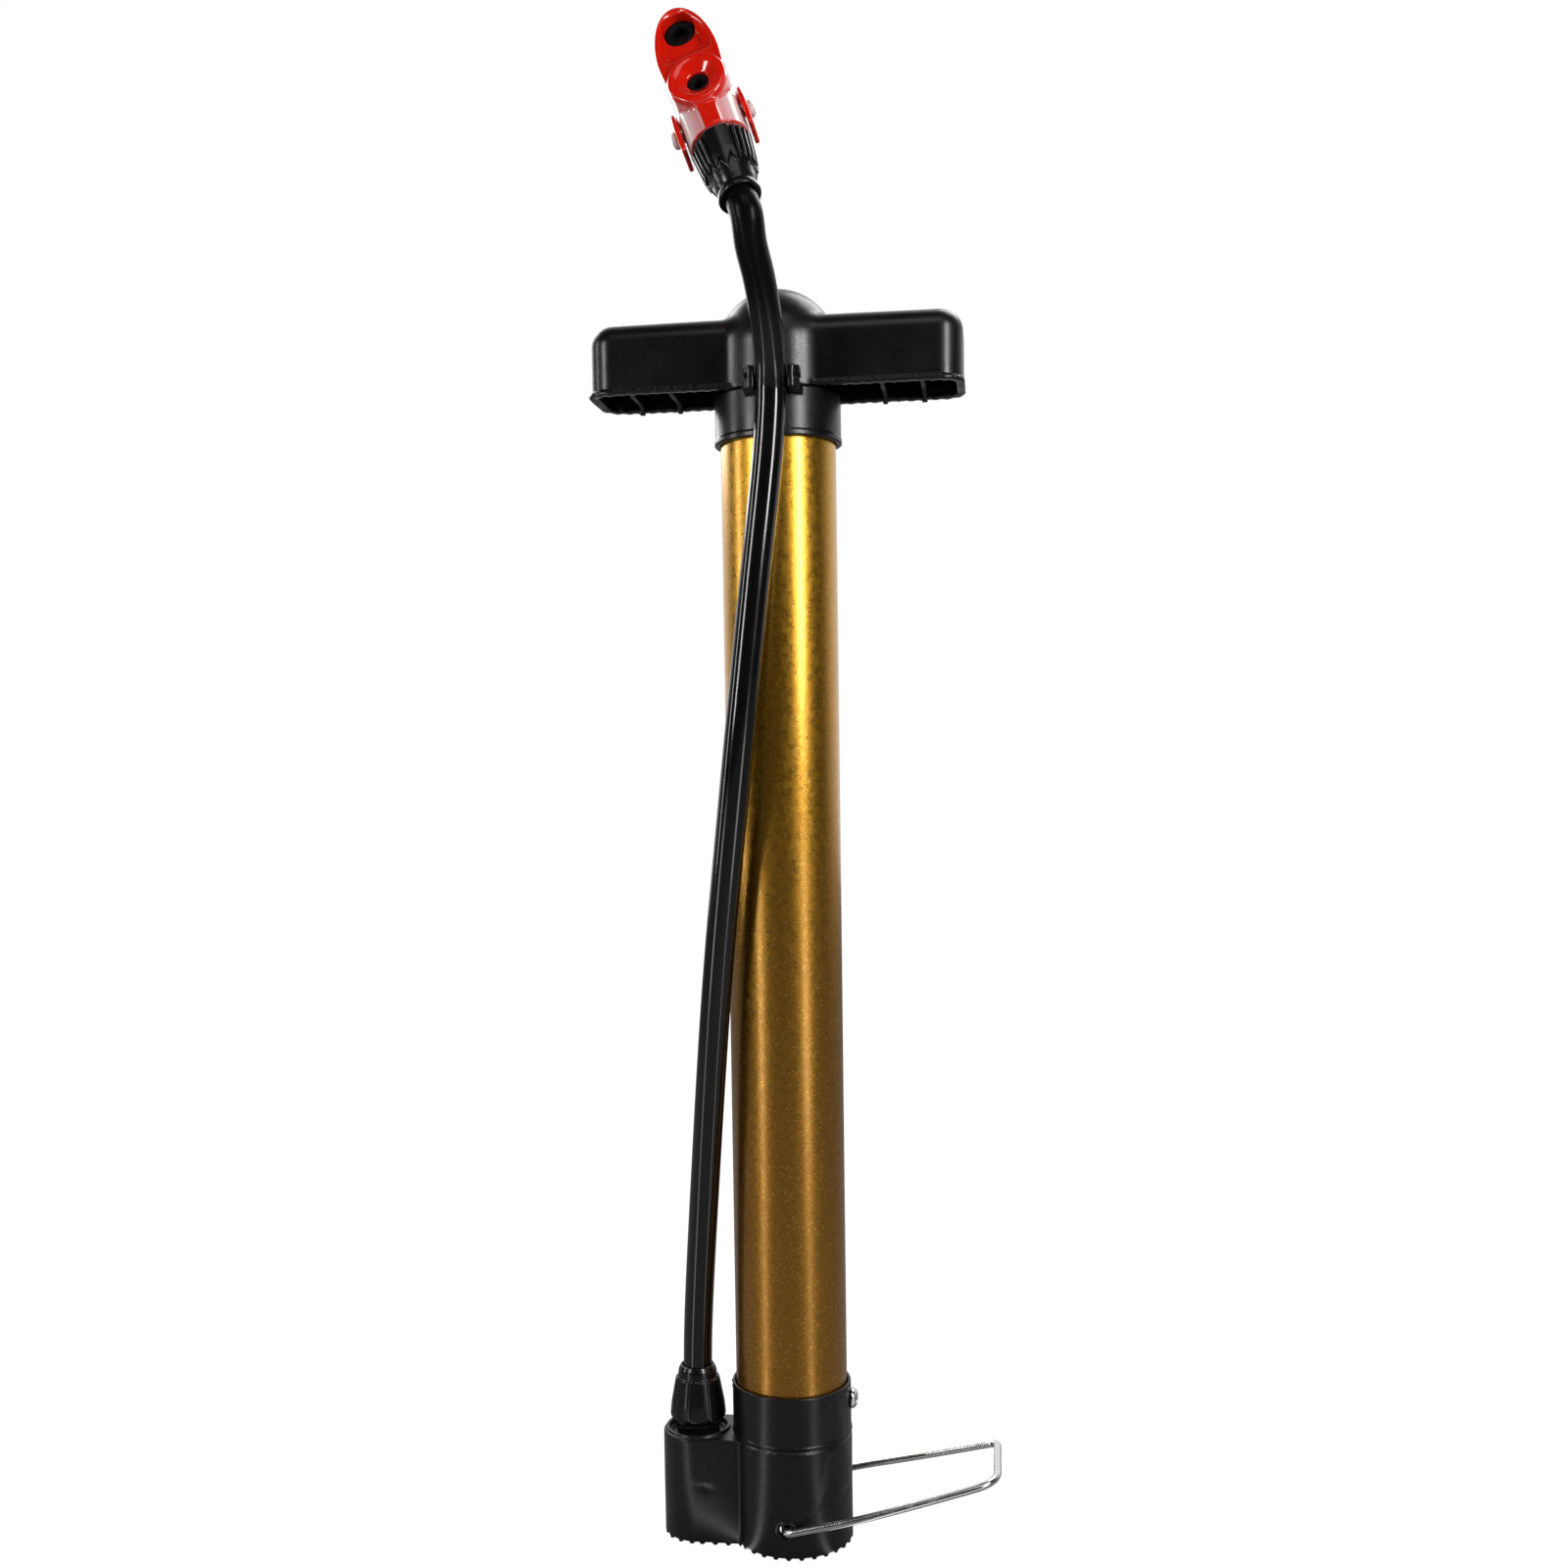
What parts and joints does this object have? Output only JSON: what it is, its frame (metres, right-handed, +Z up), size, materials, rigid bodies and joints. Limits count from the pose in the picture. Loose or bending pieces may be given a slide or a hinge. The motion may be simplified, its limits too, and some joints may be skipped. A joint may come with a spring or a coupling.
{
  "type": "foot air pump",
  "caption": "Slim floor pump with a gold tube barrel, black T handle, folding wire foot rest, side hose and a red double valve head.",
  "frame": {"origin": "on the floor, under the axis of the barrel", "axes": "+Z up along the barrel; the hose boss is on the -X side, the foot wire points to +X, and the valve ports face -Y"},
  "size_m": [0.1221, 0.0775, 0.4568],
  "materials": {
    "gold_paint": "metallic gold paint with fine sparkle, satin gloss",
    "black_plastic": "moulded black plastic, satin gloss",
    "black_rubber": "matt black rubber",
    "hose_rubber": "glossy black rubber hose",
    "red_plastic": "glossy red moulded plastic",
    "pale_plastic": "pale moulded plastic",
    "chrome": "bright plated steel",
    "steel": "drawn steel",
    "brass": "turned brass"
  },
  "bodies": {
    "pump_body": {"base": "black_plastic", "barrel": "gold_paint", "barrel_gasket": "black_rubber", "barrel_cap": "black_plastic", "rod_bush": "brass", "bumper_spring": "steel", "collar_screw": "chrome", "valve_spring": "steel", "base_nipple": "brass", "base_hose_nut": "black_plastic", "hose_1": "hose_rubber"},
    "piston_seal": {"piston_cup": "black_rubber"},
    "handle_and_rod": {"handle": "black_plastic", "rod_lock_nut": "steel", "piston_rod": "steel", "piston_body": "black_plastic", "piston_washer": "steel", "piston_nut": "steel"},
    "foot_rest": {"foot_wire": "chrome"},
    "check_ball": {"valve_ball": "black_rubber"},
    "hose_link_2": {"hose_2": "hose_rubber"},
    "hose_link_3": {"hose_3": "hose_rubber"},
    "hose_link_4": {"hose_4": "hose_rubber"},
    "hose_link_5": {"hose_5": "hose_rubber"},
    "hose_link_6": {"hose_6": "hose_rubber"},
    "valve_head": {"hose_7": "hose_rubber", "head_nipple": "brass", "head_hose_nut": "black_plastic", "head_body": "red_plastic", "schrader_grommet": "black_rubber", "presta_grommet": "black_rubber", "schrader_pin": "brass", "lever_pin": "pale_plastic"},
    "thumb_lever": {"head_lever": "red_plastic"}
  },
  "joints": [
    {"name": "handle_slide", "type": "slide", "parent": "pump_body", "child": "piston_seal", "axis": [0, 0, 1], "range_m": [0, 0.265]},
    {"name": "handle_turn", "type": "hinge", "parent": "piston_seal", "child": "handle_and_rod", "pos_m": [0, 0, 0.2], "axis": [0, 0, 1], "range_deg": [-12, 12]},
    {"name": "foot_wire_fold", "type": "hinge", "parent": "pump_body", "child": "foot_rest", "pos_m": [0, 0, 0.0094], "axis": [0, -1, 0], "range_deg": [-21.9, 58]},
    {"name": "ball_lift", "type": "slide", "parent": "pump_body", "child": "check_ball", "axis": [0, 0, 1], "range_m": [0, 0.0013], "deforming": ["valve_spring"]},
    {"name": "hose_bend_1", "type": "hinge", "parent": "pump_body", "child": "hose_link_2", "pos_m": [-0.0289, -0.00199, 0.07726], "axis": [1, 0, 0], "range_deg": [0, 15]},
    {"name": "hose_bend_2", "type": "hinge", "parent": "hose_link_2", "child": "hose_link_3", "pos_m": [-0.02392, -0.00996, 0.13022], "axis": [1, 0, 0], "range_deg": [0, 15]},
    {"name": "hose_bend_3", "type": "hinge", "parent": "hose_link_3", "child": "hose_link_4", "pos_m": [-0.01838, -0.01743, 0.1832], "axis": [1, 0, 0], "range_deg": [0, 15]},
    {"name": "hose_bend_4", "type": "hinge", "parent": "hose_link_4", "child": "hose_link_5", "pos_m": [-0.01192, -0.02226, 0.23636], "axis": [1, 0, 0], "range_deg": [0, 15]},
    {"name": "hose_bend_5", "type": "hinge", "parent": "hose_link_5", "child": "hose_link_6", "pos_m": [-0.00562, -0.02312, 0.28977], "axis": [1, 0, 0], "range_deg": [0, 15]},
    {"name": "hose_bend_6", "type": "hinge", "parent": "hose_link_6", "child": "valve_head", "pos_m": [0.00067, -0.02442, 0.34316], "axis": [1, 0, 0], "range_deg": [0, 15]},
    {"name": "lever_open", "type": "hinge", "parent": "valve_head", "child": "thumb_lever", "pos_m": [-0.01301, -0.03272, 0.42485], "axis": [-0.9413, -0.0324, -0.3361], "range_deg": [0, 90]}
  ],
  "couplings": [
    {"joint": "hose_bend_2", "follows": "hose_bend_1", "ratio": 1},
    {"joint": "hose_bend_3", "follows": "hose_bend_1", "ratio": 1},
    {"joint": "hose_bend_4", "follows": "hose_bend_1", "ratio": 1},
    {"joint": "hose_bend_5", "follows": "hose_bend_1", "ratio": 1},
    {"joint": "hose_bend_6", "follows": "hose_bend_1", "ratio": 1}
  ]
}
